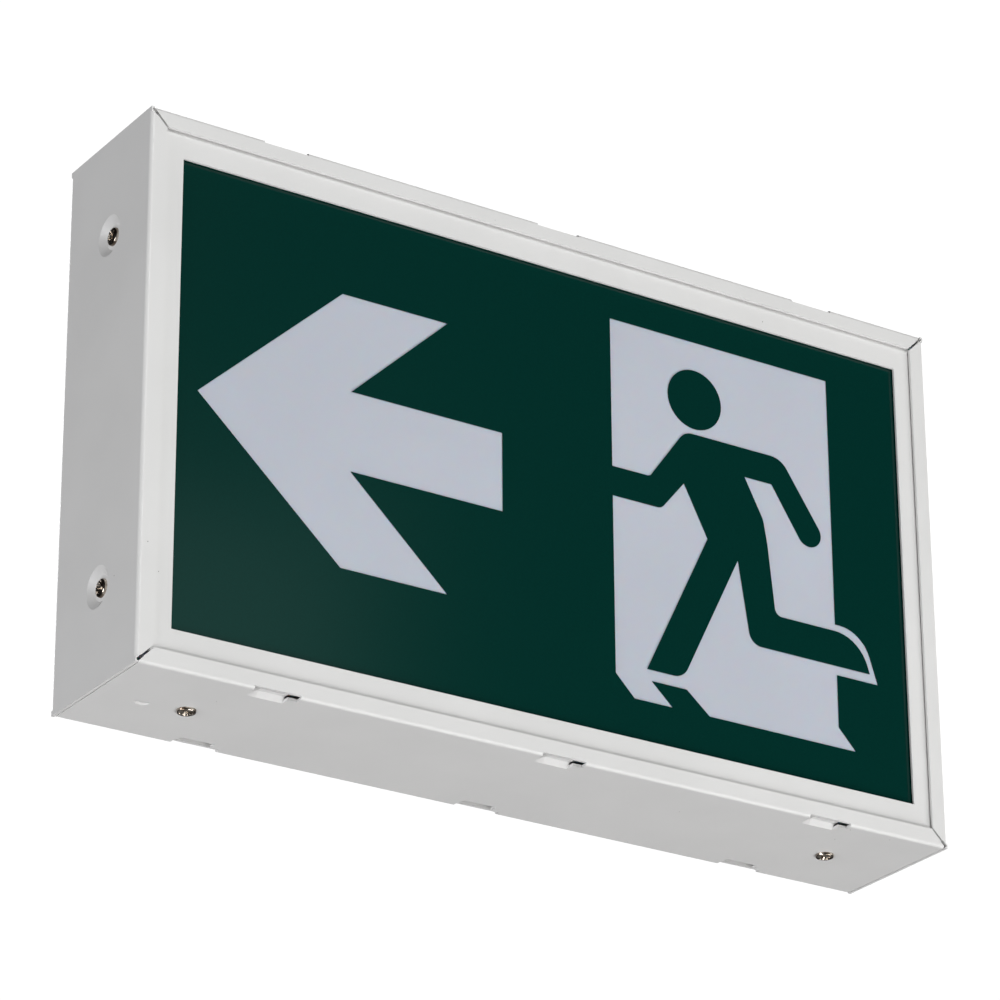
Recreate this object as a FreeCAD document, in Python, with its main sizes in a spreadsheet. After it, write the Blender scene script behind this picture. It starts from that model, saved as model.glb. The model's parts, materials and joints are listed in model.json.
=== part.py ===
"""Emergency exit light: a wall-mounted running-man sign in a folded steel housing.

Millimetres. The origin is the centre of the wire entry, on the rear face of the rear
plate. X runs along the sign to the right as it is read, Y runs into the wall and Z is
up. Every body is drawn about the middle of the housing and moved with its Placement.

The housing is four folded panels. Each long edge of the top and bottom panels has
three slots whose lanced tongues make a channel behind the folded ring. The front and
rear plates slide into those channels from the end. The light tray is the core that
all four panels are screwed to.
"""
import FreeCAD, Part
import math
import os
import re

import Sketcher

DOC = FreeCAD.newDocument("exit_light")

# Driving dimensions: alias, millimetres, meaning.
DIMENSIONS = [
    ("overall_width", 311.0, "housing, left to right"),
    ("overall_height", 191.6, "housing, bottom to top"),
    ("overall_depth", 54.0, "housing, front to rear"),
    ("skin", 1.0, "housing sheet thickness"),
    ("bend", 1.2, "outer radius of the housing bends"),
    ("ring_width", 5.9, "width of the folded ring, front and rear"),
    ("end_gap", 0.35, "seam between an end panel and its neighbours"),
    ("mitre_gap", 0.75, "gap along each mitre of the ring"),
    ("ear_height", 1.8, "flat, unbent corner of an end panel"),
    ("relief_radius", 0.55, "bend relief at the outer end of a mitre"),
    ("relief_start", 0.95, "first centre of the relief, from both edges"),
    ("relief_end", 2.2, "last centre of the relief, from both edges"),
    ("slot_start", 41.9, "first slot, from the left end"),
    ("slot_pitch", 106.0, "slot to slot"),
    ("slot_length", 16.6, "slot cut through the bend"),
    ("slot_rise", 1.1, "height of the slot in the ring"),
    ("slot_hole", 3.4, "open end of the slot, beside the tongue"),
    ("slot_hole_depth", 2.8, "rear edge of the open end"),
    ("tongue_front", 2.75, "cut edge of the tongue, from the face"),
    ("tongue_step", 4.6, "rear edge of the tongue's flat part, from the face"),
    ("tongue_root", 6.2, "bend line of the tongue, from the face"),
    ("tongue_lift", 1.7, "how far the tongue is pressed in"),
    ("ramp_length", 3.6, "ramp at the closed end of the tongue"),
    ("plate_setback", 1.5, "face of the front plate behind the ring's face"),
    ("plate_skin", 1.0, "front and rear plate thickness"),
    ("plate_width", 308.0, "front and rear plates"),
    ("plate_height", 188.8, "front and rear plates"),
    ("plate_clip", 10.6, "clipped plate corner, sum of both sides from the housing's corner"),
    ("plate_notch", 2.6, "notch in a plate over each tongue"),
    ("window_width", 285.8, "opening in the front plate"),
    ("window_height", 162.8, "opening in the front plate"),
    ("window_shift", 0.3, "play of the front plate to the right"),
    ("legend_setback", 3.0, "face of the legend film"),
    ("legend_skin", 0.3, "legend film thickness"),
    ("legend_width", 298.0, "legend film"),
    ("legend_height", 186.0, "legend film"),
    ("diffuser_skin", 2.0, "opal panel thickness"),
    ("diffuser_width", 306.4, "opal panel"),
    ("diffuser_height", 186.0, "opal panel"),
    ("panel_screw_left", 32.9, "panel screw, from the left end"),
    ("panel_screw_right", 31.3, "panel screw, from the right end"),
    ("panel_screw_depth", 27.0, "panel screws, from the front face"),
    ("screw_hole", 4.6, "clearance hole for a housing screw"),
    ("tick_place", 18.0, "half-sheared tick, from the left end"),
    ("tick_row", 28.2, "half-sheared tick, from the front face"),
    ("tick_radius", 2.6, "half-sheared tick"),
    ("tick_depth", 0.45, "half-sheared tick"),
    ("dimple_height", 61.3, "half the height between the two dimples"),
    ("dimple_drop", 0.8, "middle of the two dimples below mid-height"),
    ("dimple_depth_place", 26.2, "dimples, from the front face"),
    ("dimple_radius", 7.1, "mouth of a dimple"),
    ("dimple_floor", 4.3, "flat floor of a dimple"),
    ("dimple_press", 1.8, "depth of a dimple"),
    ("tray_skin", 0.8, "light tray sheet"),
    ("tray_web", 34.0, "front of the tray web, from the front face"),
    ("tray_bend", 1.6, "outer bend radius of the tray"),
    ("tray_notch", 3.0, "tray clearance round a tongue, each side"),
    ("head_radius", 3.15, "housing screw head"),
    ("head_height", 1.35, "housing screw head"),
    ("shank_radius", 2.0, "housing screw shank"),
    ("shank_length", 7.0, "housing screw, under the head"),
    ("recess_width", 0.95, "cross recess, blade width"),
    ("recess_span", 4.4, "cross recess, across"),
    ("recess_depth", 1.5, "cross recess"),
    ("nut_radius", 4.0, "clinch nut body"),
    ("nut_height", 2.6, "clinch nut body"),
    ("entry_radius", 11.1, "wire entry in the rear plate"),
    ("box_circle", 44.45, "outlet-box screw circle, radius"),
    ("box_hole", 2.6, "outlet-box screw hole, radius"),
    ("keyhole_place", 131.0, "keyholes, either side of the middle"),
    ("keyhole_head", 4.5, "keyhole, round part, radius"),
    ("keyhole_slot", 2.3, "keyhole, slot, half width"),
    ("keyhole_rise", 9.0, "keyhole, slot length"),
    ("led_row", 46.0, "light boards, above and below the middle"),
    ("board_length", 250.0, "light board"),
    ("board_height", 18.0, "light board"),
    ("board_skin", 1.6, "circuit board thickness"),
    ("led_pitch", 31.0, "LED to LED"),
    ("led_side", 3.5, "LED package, square"),
    ("led_height", 1.2, "LED package"),
    ("lens_radius", 1.0, "LED dome"),
    ("rivet_place", 119.0, "outer rivets of a light board"),
    ("rivet_radius", 1.5, "board rivet shank"),
    ("rivet_head", 3.0, "board rivet head"),
    ("connector_place", 15.0, "lead connector of a light board, right of the middle"),
    ("lead_radius", 0.9, "insulated lead"),
    ("twin_radius", 1.2, "jacketed lead of a light board"),
    ("twin_spread", 3.4, "the two board leads in the grommet, centre to centre"),
    ("grommet_radius", 6.0, "lead grommet, outer"),
    ("grommet_waist", 4.8, "lead grommet in the tray web"),
    ("grommet_bore", 3.4, "lead grommet bore"),
    ("case_place", 62.0, "driver case, right of the middle"),
    ("case_length", 96.0, "driver case"),
    ("case_height", 44.0, "driver case"),
    ("case_depth", 14.4, "driver case with its lid"),
    ("case_wall", 1.2, "driver case"),
    ("case_boss", 2.5, "bosses under the driver board"),
    ("case_ear", 8.0, "screw ears of the driver case"),
    ("ear_rise", 15.0, "screw ears above the middle"),
    ("supply_rise", 11.0, "supply leads above and below the middle"),
    ("twin_rise", 4.0, "board leads above and below the middle"),
    ("lead_depth", 40.0, "leads behind the tray, from the front face"),
    ("block_place", 62.0, "terminal block, left of the middle"),
    ("block_width", 20.0, "terminal block"),
    ("block_length", 34.0, "terminal block"),
    ("block_depth", 13.0, "terminal block"),
    ("pole_pitch", 11.0, "terminal block poles"),
    ("small_shank", 1.5, "fixing screws inside, shank radius"),
    ("small_head", 2.8, "fixing screws inside, head radius"),
    ("ground_place", 30.0, "ground screw, left of the middle"),
    ("ground_shank", 2.0, "ground screw, radius"),
]

DIMS = DOC.addObject("Spreadsheet::Sheet", "Dims")
for row, (alias, value, meaning) in enumerate(DIMENSIONS, 1):
    DIMS.set(f"A{row}", meaning)
    DIMS.set(f"B{row}", str(value))
    DIMS.setAlias(f"B{row}", alias)
DOC.recompute()
ALIASES = {alias for alias, _, _ in DIMENSIONS}


def bound(expression):
    """Point the dimension names of an expression at the sheet."""
    def swap(match):
        word = match.group(0)
        return "Dims." + word if word in ALIASES else word
    return re.sub(r"[a-z][a-z_]+", swap, str(expression))


def size(alias):
    return float(DIMS.get(alias))


# ---------------------------------------------------------------- building blocks

def new_body(label):
    """An empty body drawn about the middle of the housing."""
    body = DOC.addObject("PartDesign::Body", label)
    body.Label = label
    body.setExpression("Placement.Base.y", bound("plate_setback-overall_depth/2"))
    return body


def plane(body, role):
    return next(item for item in body.Origin.OriginFeatures if item.Role == role)


def place(feature, low, turn=None):
    if turn is not None:
        feature.Placement = FreeCAD.Placement(FreeCAD.Vector(), turn)
    for axis, expression in zip("xyz", low):
        feature.setExpression("Placement.Base." + axis, bound(expression))
    return feature


def brick(body, kind, name, low, sides, turn=None):
    """Additive or Subtractive box from its low corner and its three sides."""
    box = body.newObject(f"PartDesign::{kind}Box", name)
    for prop, expression in zip(("Length", "Width", "Height"), sides):
        box.setExpression(prop, bound(expression))
    return place(box, low, turn)


def round_bar(body, kind, name, base, radius, length, turn=None):
    """Additive or Subtractive cylinder from the centre of its base."""
    bar = body.newObject(f"PartDesign::{kind}Cylinder", name)
    bar.setExpression("Radius", bound(radius))
    bar.setExpression("Height", bound(length))
    return place(bar, base, turn)


def cone(body, kind, name, base, radii, length, turn=None):
    """Additive or Subtractive cone from the centre of its base."""
    taper = body.newObject(f"PartDesign::{kind}Cone", name)
    taper.setExpression("Radius1", bound(radii[0]))
    taper.setExpression("Radius2", bound(radii[1]))
    taper.setExpression("Height", bound(length))
    return place(taper, base, turn)


def dome(body, name, centre, radius):
    """A ball, of which the half that stands out of its neighbour shows."""
    ball = body.newObject("PartDesign::AdditiveSphere", name)
    ball.setExpression("Radius", bound(radius))
    return place(ball, centre)


def sketch_on(body, name, role, offset, across="0", up="0"):
    """Sketch on an origin plane, moved along its normal and within the plane."""
    sketch = body.newObject("Sketcher::SketchObject", name)
    sketch.AttachmentSupport = [(plane(body, role), "")]
    sketch.MapMode = "FlatFace"
    for axis, expression in zip("xyz", (across, up, offset)):
        sketch.setExpression("AttachmentOffset.Base." + axis, bound(expression))
    return sketch


def polygon(sketch, corners):
    """Closed outline whose corners are held by expressions: (start, across, up)."""
    count = len(corners)
    guess = [FreeCAD.Vector(x, y, 0) for (x, y), _, _ in corners]
    for index in range(count):
        sketch.addGeometry(Part.LineSegment(guess[index], guess[(index + 1) % count]), False)
    for index in range(count):
        after = (index + 1) % count
        sketch.addConstraint(Sketcher.Constraint("Coincident", index, 2, after, 1))
    for index, (_, across, up) in enumerate(corners):
        for kind, expression in (("DistanceX", across), ("DistanceY", up)):
            value = guess[index].x if kind == "DistanceX" else guess[index].y
            rule = Sketcher.Constraint(kind, -1, 1, index, 1, value)
            number = sketch.addConstraint(rule)
            sketch.setExpression(f"Constraints[{number}]", bound(expression))
    return sketch


def discs(body, kind, name, start, length, circles):
    """Pad or Pocket of round outlines, from the plane Y = start towards the wall.

    A circle is (across, up, radius).
    """
    sketch = sketch_on(body, name + "_circles", "XZ_Plane", f"-({start})")
    for index, circle in enumerate(circles):
        sketch.addGeometry(Part.Circle(FreeCAD.Vector(10 * index, 0, 0), ALONG_Z, 2), False)
        rules = [Sketcher.Constraint("DistanceX", -1, 1, index, 3, 10.0 * index),
                 Sketcher.Constraint("DistanceY", -1, 1, index, 3, 0.0),
                 Sketcher.Constraint("Radius", index, 2.0)]
        for rule, expression in zip(rules, circle):
            number = sketch.addConstraint(rule)
            sketch.setExpression(f"Constraints[{number}]", bound(expression))
    feature = body.newObject("PartDesign::" + kind, name)
    feature.Profile = sketch
    feature.Reversed = kind == "Pad"
    feature.setExpression("Length", bound(length))
    body.Tip = feature
    return feature


def repeat(body, name, originals, steps):
    """MultiTransform of features, by rows, mirrors and turns in that order.

    A step is ("row", axis, length, count), ("mirror", plane) or ("turn", axis, count).
    """
    pattern = body.newObject("PartDesign::MultiTransform", name)
    pattern.Originals = originals
    parts = []
    for number, step in enumerate(steps):
        if step[0] == "row":
            item = body.newObject("PartDesign::LinearPattern", f"{name}_row_{number}")
            item.Direction = (plane(body, step[1]), [""])
            item.setExpression("Length", bound(step[2]))
            item.Occurrences = step[3]
        elif step[0] == "turn":
            item = body.newObject("PartDesign::PolarPattern", f"{name}_turn_{number}")
            item.Axis = (plane(body, step[1]), [""])
            item.Angle = 360
            item.Occurrences = step[2]
        else:
            item = body.newObject("PartDesign::Mirrored", f"{name}_mirror_{number}")
            item.MirrorPlane = (plane(body, step[1]), [""])
        parts.append(item)
    pattern.Transformations = parts
    body.Tip = pattern
    return pattern


def edges_where(feature, along, test):
    """Names of a feature's edges that run along a direction and start where the test says."""
    names = []
    for number, edge in enumerate(feature.Shape.Edges, 1):
        ends = [vertex.Point for vertex in edge.Vertexes]
        if len(ends) == 2 and test(ends[0]):
            run = ends[1] - ends[0]
            if near(run.cross(along).Length, 0):
                names.append(f"Edge{number}")
    return names


def soften(body, name, radius, along, test):
    """Fillet the edges of the body's tip that run along a direction and pass the test."""
    DOC.recompute()
    base = body.Tip
    fillet = body.newObject("PartDesign::Fillet", name)
    fillet.Base = (base, edges_where(base, along, test))
    fillet.setExpression("Radius", bound(radius))
    body.Tip = fillet
    return fillet


def near(value, target):
    return abs(value - target) < 0.02


ALONG_X = FreeCAD.Vector(1, 0, 0)
ALONG_Z = FreeCAD.Vector(0, 0, 1)
TURN_X = FreeCAD.Rotation(FreeCAD.Vector(0, 1, 0), 90)      # local Z to +X
TURN_LEFT = FreeCAD.Rotation(FreeCAD.Vector(0, 1, 0), -90)  # local Z to -X
TURN_FRONT = FreeCAD.Rotation(FreeCAD.Vector(1, 0, 0), 90)  # local Z to -Y, the front
TURN_REAR = FreeCAD.Rotation(FreeCAD.Vector(1, 0, 0), -90)  # local Z to +Y, the wall

HALF_W = size("overall_width") / 2
HALF_D = size("overall_depth") / 2
HALF_H = size("overall_height") / 2

LEFT = "-overall_width/2"
FRONT = "-overall_depth/2"
FOOT = "-overall_height/2"


def ring_relief(body, name, depth):
    """Bend relief at the bottom left mitre: a short slot along the diagonal."""
    sketch = sketch_on(body, name + "_outline", "XZ_Plane", "overall_depth/2+0.1")
    half, start, end = size("relief_radius"), size("relief_start"), size("relief_end")
    first = FreeCAD.Vector(start - HALF_W, start - HALF_H, 0)
    last = FreeCAD.Vector(end - HALF_W, end - HALF_H, 0)
    side = FreeCAD.Vector(-half, half, 0) / math.sqrt(2)
    tip = FreeCAD.Vector(half, half, 0) / math.sqrt(2)
    sketch.addGeometry([
        Part.LineSegment(first + side, last + side),
        Part.Arc(last + side, last + tip, last - side),
        Part.LineSegment(last - side, first - side),
        Part.Arc(first - side, first - tip, first + side),
    ], False)
    pocket = body.newObject("PartDesign::Pocket", name)
    pocket.Profile = sketch
    pocket.Reversed = False
    pocket.setExpression("Length", bound(depth))
    return pocket


def mitre_cut(body, name, corners, depth):
    """Triangular cut through the folded ring at the bottom left corner."""
    outline = [((x - HALF_W, y - HALF_H), LEFT + "+" + across, FOOT + "+" + up)
               for (x, y), across, up in corners]
    pocket = body.newObject("PartDesign::Pocket", name)
    pocket.Profile = polygon(
        sketch_on(body, name + "_outline", "XZ_Plane", "overall_depth/2+1"), outline)
    pocket.setExpression("Length", bound(depth))
    return pocket


# ------------------------------------------------------------------- long panels

SLANT = 0.43  # upper bend line of a tongue behind the lower one, in skins


def cross_section(body, name, across, lift):
    """Tongue section on a YZ plane: flat at the foot of the ramp, else pressed in."""
    front, step, root = (size("tongue_" + part) - HALF_D for part in ("front", "step", "root"))
    floor, skin = -HALF_H, size("skin")
    rise = size("tongue_lift") if lift else 0.0
    up = "+tongue_lift" if lift else ""
    return polygon(sketch_on(body, name, "YZ_Plane", across), [
        ((front, floor + rise), FRONT + "+tongue_front", FOOT + up),
        ((step, floor + rise), FRONT + "+tongue_step", FOOT + up),
        ((root, floor), FRONT + "+tongue_root", FOOT),
        ((root + SLANT * skin, floor + skin),
         FRONT + f"+tongue_root+{SLANT}*skin", FOOT + "+skin"),
        ((step + SLANT * skin, floor + skin + rise),
         FRONT + f"+tongue_step+{SLANT}*skin", FOOT + "+skin" + up),
        ((front, floor + skin + rise), FRONT + "+tongue_front", FOOT + "+skin" + up),
    ])


def long_panel(label):
    """Top or bottom channel, drawn as the bottom one: web, two folded flanges, slots."""
    body = new_body(label)
    brick(body, "Additive", "blank",
          (LEFT + "+skin+end_gap", FRONT, FOOT),
          ("overall_width-2*skin-2*end_gap", "overall_depth", "ring_width"))
    brick(body, "Subtractive", "inside",
          (LEFT, FRONT + "+skin", FOOT + "+skin"),
          ("overall_width", "overall_depth-2*skin", "ring_width"))
    soften(body, "outer_bends", "bend", ALONG_X,
           lambda point: near(abs(point.y), HALF_D) and near(point.z, -HALF_H))
    inner = HALF_D - size("skin")
    soften(body, "inner_bends", "bend-skin", ALONG_X,
           lambda point: near(abs(point.y), inner) and near(point.z, size("skin") - HALF_H))
    mitre = mitre_cut(body, "mitre", [
        ((0.0, -0.35), "0", "-mitre_gap*0.7071"),
        ((9.4, 9.05), "9.4", "9.4-mitre_gap*0.7071"),
        ((0.0, 9.05), "0", "9.4-mitre_gap*0.7071")], "skin+1.4")
    relief = ring_relief(body, "relief", "skin+0.4")
    repeat(body, "corners", [mitre, relief], [("mirror", "YZ_Plane"), ("mirror", "XZ_Plane")])
    bend_cut = brick(body, "Subtractive", "slot",
                     (LEFT + "+slot_start", FRONT + "-1", FOOT + "-1"),
                     ("slot_length", "tongue_front+1", "slot_rise+1"))
    end_hole = brick(body, "Subtractive", "slot_end",
                     (LEFT + "+slot_start+slot_length-slot_hole", FRONT + "-1", FOOT + "-1"),
                     ("slot_hole", "slot_hole_depth+1", "slot_rise+1"))
    lance = brick(body, "Subtractive", "lance",
                  (LEFT + "+slot_start", FRONT + "+tongue_front", FOOT + "-1"),
                  ("slot_length-slot_hole", "tongue_root-tongue_front", "skin+1"))
    foot = cross_section(body, "ramp_foot", LEFT + "+slot_start", False)
    top = cross_section(body, "ramp_top", LEFT + "+slot_start+ramp_length", True)
    end = cross_section(body, "tongue_end", LEFT + "+slot_start+slot_length-slot_hole", True)
    DOC.recompute()
    tongue = body.newObject("PartDesign::AdditiveLoft", "tongue")
    tongue.Profile = foot
    tongue.Sections = [top, end]
    tongue.Ruled = True
    DOC.recompute()
    repeat(body, "slots", [bend_cut, end_hole, lance, tongue],
           [("row", "X_Axis", "2*slot_pitch", 3), ("mirror", "XZ_Plane")])
    for name, across in (("left_hole", LEFT + "+panel_screw_left"),
                         ("right_hole", "overall_width/2-panel_screw_right")):
        round_bar(body, "Subtractive", name,
                  (across, FRONT + "+panel_screw_depth", FOOT + "-1"), "screw_hole/2", "skin+2")
    return body


bottom_panel = long_panel("bottom_panel")
tick_tilt = FreeCAD.Rotation(FreeCAD.Vector(1, 0, 0), 14)
round_bar(bottom_panel, "Subtractive", "tick",
          (LEFT + "+tick_place", FRONT + "+tick_row", FOOT + "-1+tick_depth*0.2"),
          "tick_radius", "1", tick_tilt)

top_panel = long_panel("top_panel")
top_panel.Placement.Rotation = FreeCAD.Rotation(FreeCAD.Vector(1, 0, 0), 180)


# -------------------------------------------------------------------- end panels

END_HEIGHT = {"upper": "dimple_height-dimple_drop", "lower": "-dimple_height-dimple_drop"}

def end_panel(label):
    """End cap, drawn as the left one: web, folded flanges and two screw dimples."""
    body = new_body(label)
    brick(body, "Additive", "blank",
          (LEFT, FRONT, FOOT + "+ear_height"),
          ("ring_width", "overall_depth", "overall_height-2*ear_height"))
    brick(body, "Subtractive", "inside",
          (LEFT + "+skin", FRONT + "+skin", FOOT),
          ("ring_width", "overall_depth-2*skin", "overall_height"))
    soften(body, "outer_bends", "bend", ALONG_Z,
           lambda point: near(abs(point.y), HALF_D) and near(point.x, -HALF_W))
    inner = HALF_D - size("skin")
    soften(body, "inner_bends", "bend-skin", ALONG_Z,
           lambda point: near(abs(point.y), inner) and near(point.x, size("skin") - HALF_W))
    mitre = mitre_cut(body, "mitre", [
        ((0.0, 0.35), "0", "mitre_gap*0.7071"),
        ((9.4, 0.35), "9.4", "mitre_gap*0.7071"),
        ((9.4, 9.75), "9.4", "9.4+mitre_gap*0.7071")], "overall_depth+2")
    repeat(body, "mitres", [mitre], [("mirror", "XY_Plane")])
    ear = brick(body, "Additive", "ear", (LEFT, FRONT, FOOT),
                ("skin", "overall_depth", "ear_height"))
    repeat(body, "ears", [ear], [("mirror", "XY_Plane")])
    relief = ring_relief(body, "relief", "skin+0.4")
    repeat(body, "reliefs", [relief], [("mirror", "XY_Plane"), ("mirror", "XZ_Plane")])
    depth = FRONT + "+dimple_depth_place"
    for name, height in END_HEIGHT.items():
        cone(body, "Additive", name + "_dimple_back", (LEFT + "+skin", depth, height),
             ("dimple_radius", "dimple_floor"), "dimple_press", TURN_X)
        cone(body, "Subtractive", name + "_dimple", (LEFT, depth, height),
             ("dimple_radius", "dimple_floor"), "dimple_press", TURN_X)
        round_bar(body, "Subtractive", name + "_dimple_hole", (LEFT, depth, height),
                  "screw_hole/2", "dimple_press+skin+1", TURN_X)
    return body


left_end_panel = end_panel("left_end_panel")
right_end_panel = end_panel("right_end_panel")
right_end_panel.Placement.Rotation = FreeCAD.Rotation(FreeCAD.Vector(0, 0, 1), 180)

# ------------------------------------------------------- plates, legend and diffuser

def clear_of_ring(body):
    """Clip a plate's corners behind the mitres and notch its edges over the tongues."""
    clip = mitre_cut(body, "clip", [
        ((0.0, 0.0), "0", "0"),
        ((size("plate_clip"), 0.0), "plate_clip", "0"),
        ((0.0, size("plate_clip")), "0", "plate_clip")], "overall_depth+2")
    repeat(body, "clips", [clip], [("mirror", "YZ_Plane"), ("mirror", "XY_Plane")])
    notch = brick(body, "Subtractive", "notch",
                  (LEFT + "+slot_start-1", FRONT, FOOT),
                  ("slot_length+2", "overall_depth", "skin+plate_notch"))
    repeat(body, "notches", [notch], [("row", "X_Axis", "2*slot_pitch", 3),
                                      ("mirror", "XY_Plane")])


front_faceplate = new_body("front_faceplate")
brick(front_faceplate, "Additive", "sheet",
      ("window_shift-plate_width/2", FRONT + "+plate_setback", FOOT + "+skin"),
      ("plate_width", "plate_skin", "plate_height"))
brick(front_faceplate, "Subtractive", "window",
      ("window_shift-window_width/2", FRONT + "+plate_setback-1",
       FOOT + "+skin+(plate_height-window_height)/2"),
      ("window_width", "plate_skin+2", "window_height"))
clear_of_ring(front_faceplate)

back_plate = new_body("back_plate")
REAR_FACE = "overall_depth/2-plate_setback-plate_skin"
brick(back_plate, "Additive", "sheet", ("-plate_width/2", REAR_FACE, FOOT + "+skin"),
      ("plate_width", "plate_skin", "plate_height"))
clear_of_ring(back_plate)
BOX_SCREWS = [("box_circle", "0"), ("0", "box_circle"), ("-box_circle", "0"),
              ("0", "-box_circle")]
discs(back_plate, "Pocket", "wire_entry", REAR_FACE + "-1", "plate_skin+2",
      [("0", "0", "entry_radius")])
discs(back_plate, "Pocket", "box_holes", REAR_FACE + "-1", "plate_skin+2",
      [(across, up, "box_hole") for across, up in BOX_SCREWS])
for name, across in (("left", "-keyhole_place"), ("right", "keyhole_place")):
    discs(back_plate, "Pocket", name + "_keyhole_mouth", REAR_FACE + "-1", "plate_skin+2",
          [(across, "-keyhole_rise", "keyhole_head")])
    brick(back_plate, "Subtractive", name + "_keyhole_slot",
          (across + "-keyhole_slot", REAR_FACE + "-1", "-keyhole_rise"),
          ("2*keyhole_slot", "plate_skin+2", "keyhole_rise"))
    discs(back_plate, "Pocket", name + "_keyhole_seat", REAR_FACE + "-1", "plate_skin+2",
          [(across, "0", "keyhole_slot")])

# The printed legend is a thin film: the arrow and the doorway are clear fields in it.
FILM_FACE = FRONT + "+legend_setback"
PANEL_FACE = FILM_FACE + "+legend_skin"

diffuser_panel = new_body("diffuser_panel")
brick(diffuser_panel, "Additive", "sheet",
      ("-diffuser_width/2", PANEL_FACE, FOOT + "+skin+tongue_lift"),
      ("diffuser_width", "diffuser_skin", "diffuser_height"))

# Corners in the plane of the sign, from its middle: (x, z, corner radius).
ARROW_LEVEL, ARROW_REACH, SHAFT_HALF = 1.4, 48.4, 14.15
ARROW = [
    (-134.7, ARROW_LEVEL, 0),
    (-81.8, ARROW_LEVEL + ARROW_REACH, 0),
    (-41.6, ARROW_LEVEL + ARROW_REACH, 0),
    (-78.2, ARROW_LEVEL + SHAFT_HALF, 0),
    (-20.4, ARROW_LEVEL + SHAFT_HALF, 0),
    (-20.4, ARROW_LEVEL - SHAFT_HALF, 0),
    (-78.2, ARROW_LEVEL - SHAFT_HALF, 0),
    (-41.6, ARROW_LEVEL - ARROW_REACH, 0),
    (-81.8, ARROW_LEVEL - ARROW_REACH, 0),
]
DOORWAY = [
    (23.2, 69.3, 0), (114.1, 69.3, 0),
    (114.0, -22.3, 0), (125.4, -22.3, 13), (131.3, -40.9, 0), (114.0, -40.9, 0),
    (113.9, -59.7, 0), (120.9, -67.2, 0),
    (60.4, -67.2, 0), (51.4, -59.6, 0), (37.6, -59.6, 0), (45.8, -67.2, 0),
    (30.4, -67.2, 0), (23.1, -59.7, 0),
]
FIGURE = [
    (20.0, 14.4, 0), (38.4, 14.4, 2), (53.1, 34.4, 6), (93.3, 34.4, 8),
    (111.4, 7.2, 4.9), (102.6, 2.5, 4.9), (89.1, 23.8, 0), (77.6, 23.8, 0),
    (84.9, 9.6, 8), (86.4, 0.5, 20), (88.9, -24.8, 3),
    (123.9, -24.8, 14), (127.9, -37.5, 0), (78.4, -37.5, 5), (73.9, -7.9, 0),
    (50.3, -55.6, 6), (35.7, -55.6, 0), (61.6, -3.0, 0), (52.4, 15.2, 0),
    (42.9, 3.8, 3), (20.0, 3.8, 0),
]
HEAD_PLACE, HEAD_LEVEL, HEAD_RADIUS = 57.6, 47.5, 11.0


def rounded_outline(corners):
    """Lines and tangent arcs of a closed outline with rounded corners."""
    runs = []
    count = len(corners)
    for index, (x, y, radius) in enumerate(corners):
        here = FreeCAD.Vector(x, y, 0)
        before = FreeCAD.Vector(*corners[index - 1][:2], 0) - here
        after = FreeCAD.Vector(*corners[(index + 1) % count][:2], 0) - here
        if radius:
            half = before.getAngle(after) / 2
            reach = radius / math.tan(half)
            inward = (before.normalize() + after.normalize()).normalize()
            crown = here + inward * (radius / math.sin(half) - radius)
            runs.append((here + before * reach, crown, here + after * reach))
        else:
            runs.append((here, None, here))
    shape = []
    for index, (start, crown, end) in enumerate(runs):
        if crown is not None:
            shape.append(Part.Arc(start, crown, end))
        shape.append(Part.LineSegment(end, runs[(index + 1) % count][0]))
    return shape


def outline_sketch(body, name, corners, offset):
    sketch = sketch_on(body, name, "XZ_Plane", offset)
    sketch.addGeometry(rounded_outline(corners), False)
    return sketch


legend_film = new_body("legend_film")
brick(legend_film, "Additive", "sheet",
      ("-legend_width/2", FILM_FACE, FOOT + "+skin+tongue_lift"),
      ("legend_width", "legend_skin", "legend_height"))
for name, corners in (("arrow", ARROW), ("doorway", DOORWAY)):
    field = legend_film.newObject("PartDesign::Pocket", name)
    field.Profile = outline_sketch(legend_film, name + "_outline", corners,
                                   "overall_depth/2-legend_setback+1")
    field.setExpression("Length", bound("legend_skin+2"))
figure = legend_film.newObject("PartDesign::Pad", "figure")
figure.Profile = outline_sketch(legend_film, "figure_outline", FIGURE,
                                "overall_depth/2-legend_setback")
figure.setExpression("Length", bound("legend_skin"))
figure.Reversed = True
discs(legend_film, "Pad", "figure_head", FILM_FACE, "legend_skin",
      [(HEAD_PLACE, HEAD_LEVEL, HEAD_RADIUS)])


# -------------------------------------------------------------------- light tray

TRAY_FACE = PANEL_FACE + "+diffuser_skin"
TRAY_DEPTH = "tray_web+tray_skin-legend_setback-legend_skin-diffuser_skin"
TRAY_LEFT = LEFT + "+skin+dimple_press"
TRAY_WIDTH = "overall_width-2*skin-2*dimple_press"
TRAY_HEIGHT = "overall_height-2*skin"
WEB_REAR = FRONT + "+tray_web+tray_skin"

light_tray = new_body("light_tray")
brick(light_tray, "Additive", "blank", (TRAY_LEFT, TRAY_FACE, FOOT + "+skin"),
      (TRAY_WIDTH, TRAY_DEPTH, TRAY_HEIGHT))
brick(light_tray, "Subtractive", "inside",
      (TRAY_LEFT + "+tray_skin", TRAY_FACE + "-1", FOOT + "+skin+tray_skin"),
      (TRAY_WIDTH + "-2*tray_skin", TRAY_DEPTH + "+1-tray_skin", TRAY_HEIGHT + "-2*tray_skin"))
corner = brick(light_tray, "Subtractive", "open_corner",
               (TRAY_LEFT + "-1", TRAY_FACE + "-1", FOOT + "+skin-1"),
               ("tray_bend+1.9", TRAY_DEPTH + "+2", "tray_bend+1.9"))
repeat(light_tray, "open_corners", [corner], [("mirror", "XY_Plane"), ("mirror", "YZ_Plane")])
tray_rear = size("tray_web") + size("tray_skin") - HALF_D
tray_side = HALF_W - size("skin") - size("dimple_press")
tray_end = HALF_H - size("skin")
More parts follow.
